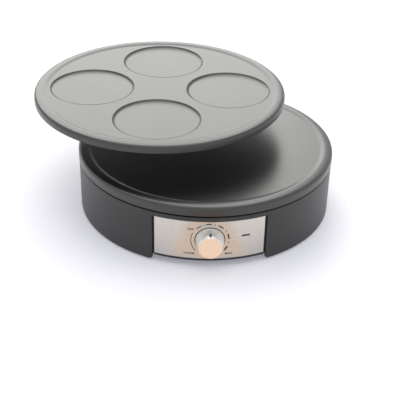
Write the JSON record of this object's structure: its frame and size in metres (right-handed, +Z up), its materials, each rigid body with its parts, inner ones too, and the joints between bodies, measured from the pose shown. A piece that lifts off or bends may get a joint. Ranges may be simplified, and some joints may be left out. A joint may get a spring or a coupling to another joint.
{
  "type": "electric crepe maker",
  "caption": "Round electric crepe maker: heated base with a control knob, a flat crepe plate and a spare plate with shallow round pancake moulds",
  "frame": {"origin": "on the counter, under the axis of the round base", "axes": "+Z up, +Y towards the back of the base and out of the cord inlet, -Y towards the user (control panel), +X to the user's right"},
  "size_m": [0.3894, 0.3988, 0.1363],
  "materials": {
    "housing_plastic": "dark charcoal satin moulding",
    "inner_plastic": "black moulding",
    "panel_steel": "stainless steel, brushed along the band",
    "nonstick_cast": "die-cast aluminium under a black non-stick coat",
    "knob_silver": "plated plastic, bright",
    "knob_disc": "polished disc with a fine turned grain",
    "pointer_black": "black inlay",
    "lens_dark": "tinted lamp lens",
    "lamp_glass": "neon lamp tube",
    "foot_rubber": "soft black rubber",
    "zinc_steel": "zinc-plated steel",
    "aluminised_sheet": "bright aluminised sheet",
    "element_sheath": "heat-darkened stainless sheath",
    "brass_parts": "plain brass",
    "copper_tube": "bare copper",
    "porcelain": "glazed white ceramic",
    "phenolic": "dark brown moulding",
    "wire_brown": "brown insulation",
    "wire_blue": "blue insulation",
    "wire_green": "green insulation",
    "wire_white": "white insulation"
  },
  "bodies": {
    "base": {"base_housing": "housing_plastic", "bottom_cover": "inner_plastic", "cover_screws": "zinc_steel", "rubber_feet": "foot_rubber", "panel_carrier": "inner_plastic", "panel_screws": "zinc_steel", "control_panel": "panel_steel", "indicator_lens": "lens_dark", "indicator_lamp": "lamp_glass", "lamp_holder": "inner_plastic", "thermostat_bracket": "zinc_steel", "thermostat_screws": "zinc_steel", "thermostat_nut": "brass_parts", "thermostat_body": "phenolic", "reflector_pan": "aluminised_sheet", "reflector_screws": "zinc_steel", "heat_shield": "aluminised_sheet", "shield_spacers": "zinc_steel", "shield_screws": "zinc_steel", "shield_nuts": "zinc_steel", "heating_element": "element_sheath", "element_bushings": "porcelain", "element_terminals": "brass_parts", "element_clips": "zinc_steel", "clip_screws": "zinc_steel", "clip_nuts": "zinc_steel", "sensor_sleeve": "zinc_steel", "sleeve_screws": "zinc_steel", "sensor_spring": "zinc_steel", "capillary_tube": "copper_tube", "terminal_block": "porcelain", "pole_screws": "brass_parts", "block_screws": "zinc_steel", "cord_gland": "foot_rubber", "cord_clamp": "inner_plastic", "clamp_screws": "zinc_steel", "thermal_fuse": "porcelain", "fuse_clip": "zinc_steel", "earth_lug": "brass_parts", "live_wire": "wire_brown", "switched_wire": "wire_brown", "fuse_wire": "wire_brown", "neutral_wire": "wire_blue", "earth_wire": "wire_green", "lamp_wires": "wire_white"},
    "knob": {"control_knob": "knob_silver", "knob_face": "knob_disc", "knob_pointer": "pointer_black", "thermostat_shaft": "brass_parts"},
    "sensor": {"sensor_cap": "zinc_steel", "sensor_bulb": "copper_tube"},
    "crepe_plate_body": {"crepe_plate": "nonstick_cast"},
    "pancake_plate_body": {"pancake_plate": "nonstick_cast"}
  },
  "joints": [
    {"name": "knob_turn", "type": "hinge", "parent": "base", "child": "knob", "pos_m": [0, -0.16, 0.0376], "axis": [0, 1, 0], "range_deg": [-135, 140]},
    {"name": "sensor_press", "type": "slide", "parent": "base", "child": "sensor", "axis": [0, 0, -1], "range_m": [0, 0.003], "stiffness_N_per_m": 800, "springref_m": -0.001, "deforming": ["sensor_spring"]},
    {"name": "crepe_plate_lift", "type": "slide", "parent": "base", "child": "crepe_plate_body", "axis": [0, 0, 1], "range_m": [0, 0.05]},
    {"name": "pancake_plate_move", "type": "slide", "parent": "crepe_plate_body", "child": "pancake_plate_body", "axis": [-0.6604, 0.6026, 0.4481], "range_m": [-0.0899, 0]}
  ]
}
